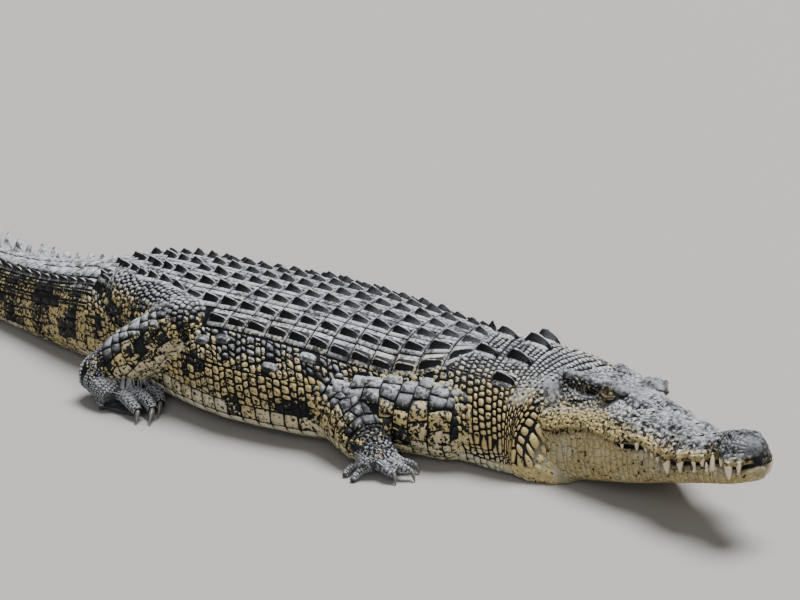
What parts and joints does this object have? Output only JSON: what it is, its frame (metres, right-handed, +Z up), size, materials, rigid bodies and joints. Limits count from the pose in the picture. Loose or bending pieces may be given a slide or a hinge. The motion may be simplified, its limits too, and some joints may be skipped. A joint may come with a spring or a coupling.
{
  "type": "saltwater crocodile",
  "caption": "Life-size saltwater crocodile lying on its belly with legs splayed, head turned to its right, mouth slightly open and a long crested tail swept to one side.",
  "frame": {"origin": "middle of the footprint's bounding box, on the floor the animal lies on", "axes": "+X runs forward along the trunk towards the head, +Y is the animal's left, +Z is up"},
  "size_m": [2.8866, 0.8424, 0.2266],
  "materials": {
    "hide": "satin",
    "pale_hide": "satin",
    "eye": "wet gloss",
    "claw": "horn",
    "tooth": "satin"
  },
  "bodies": {
    "root": {"eye_left": "eye", "eye_right": "eye", "forearm_left": "hide", "forearm_right": "hide", "forefoot_claw1_left": "claw", "forefoot_claw1_right": "claw", "forefoot_claw2_left": "claw", "forefoot_claw2_right": "claw", "forefoot_claw3_left": "claw", "forefoot_claw3_right": "claw", "forefoot_left": "hide", "forefoot_right": "hide", "head": "hide", "hindfoot_claw1_left": "claw", "hindfoot_claw1_right": "claw", "hindfoot_claw2_left": "claw", "hindfoot_claw2_right": "claw", "hindfoot_claw3_left": "claw", "hindfoot_claw3_right": "claw", "hindfoot_left": "hide", "hindfoot_right": "hide", "jaw": "pale_hide", "neck": "hide", "shank_left": "hide", "shank_right": "hide", "tail_1": "hide", "tail_2": "hide", "tail_3": "hide", "tail_4": "hide", "thigh_left": "hide", "thigh_right": "hide", "trunk": "hide", "upper_arm_left": "hide", "upper_arm_right": "hide"}
  },
  "joints": []
}
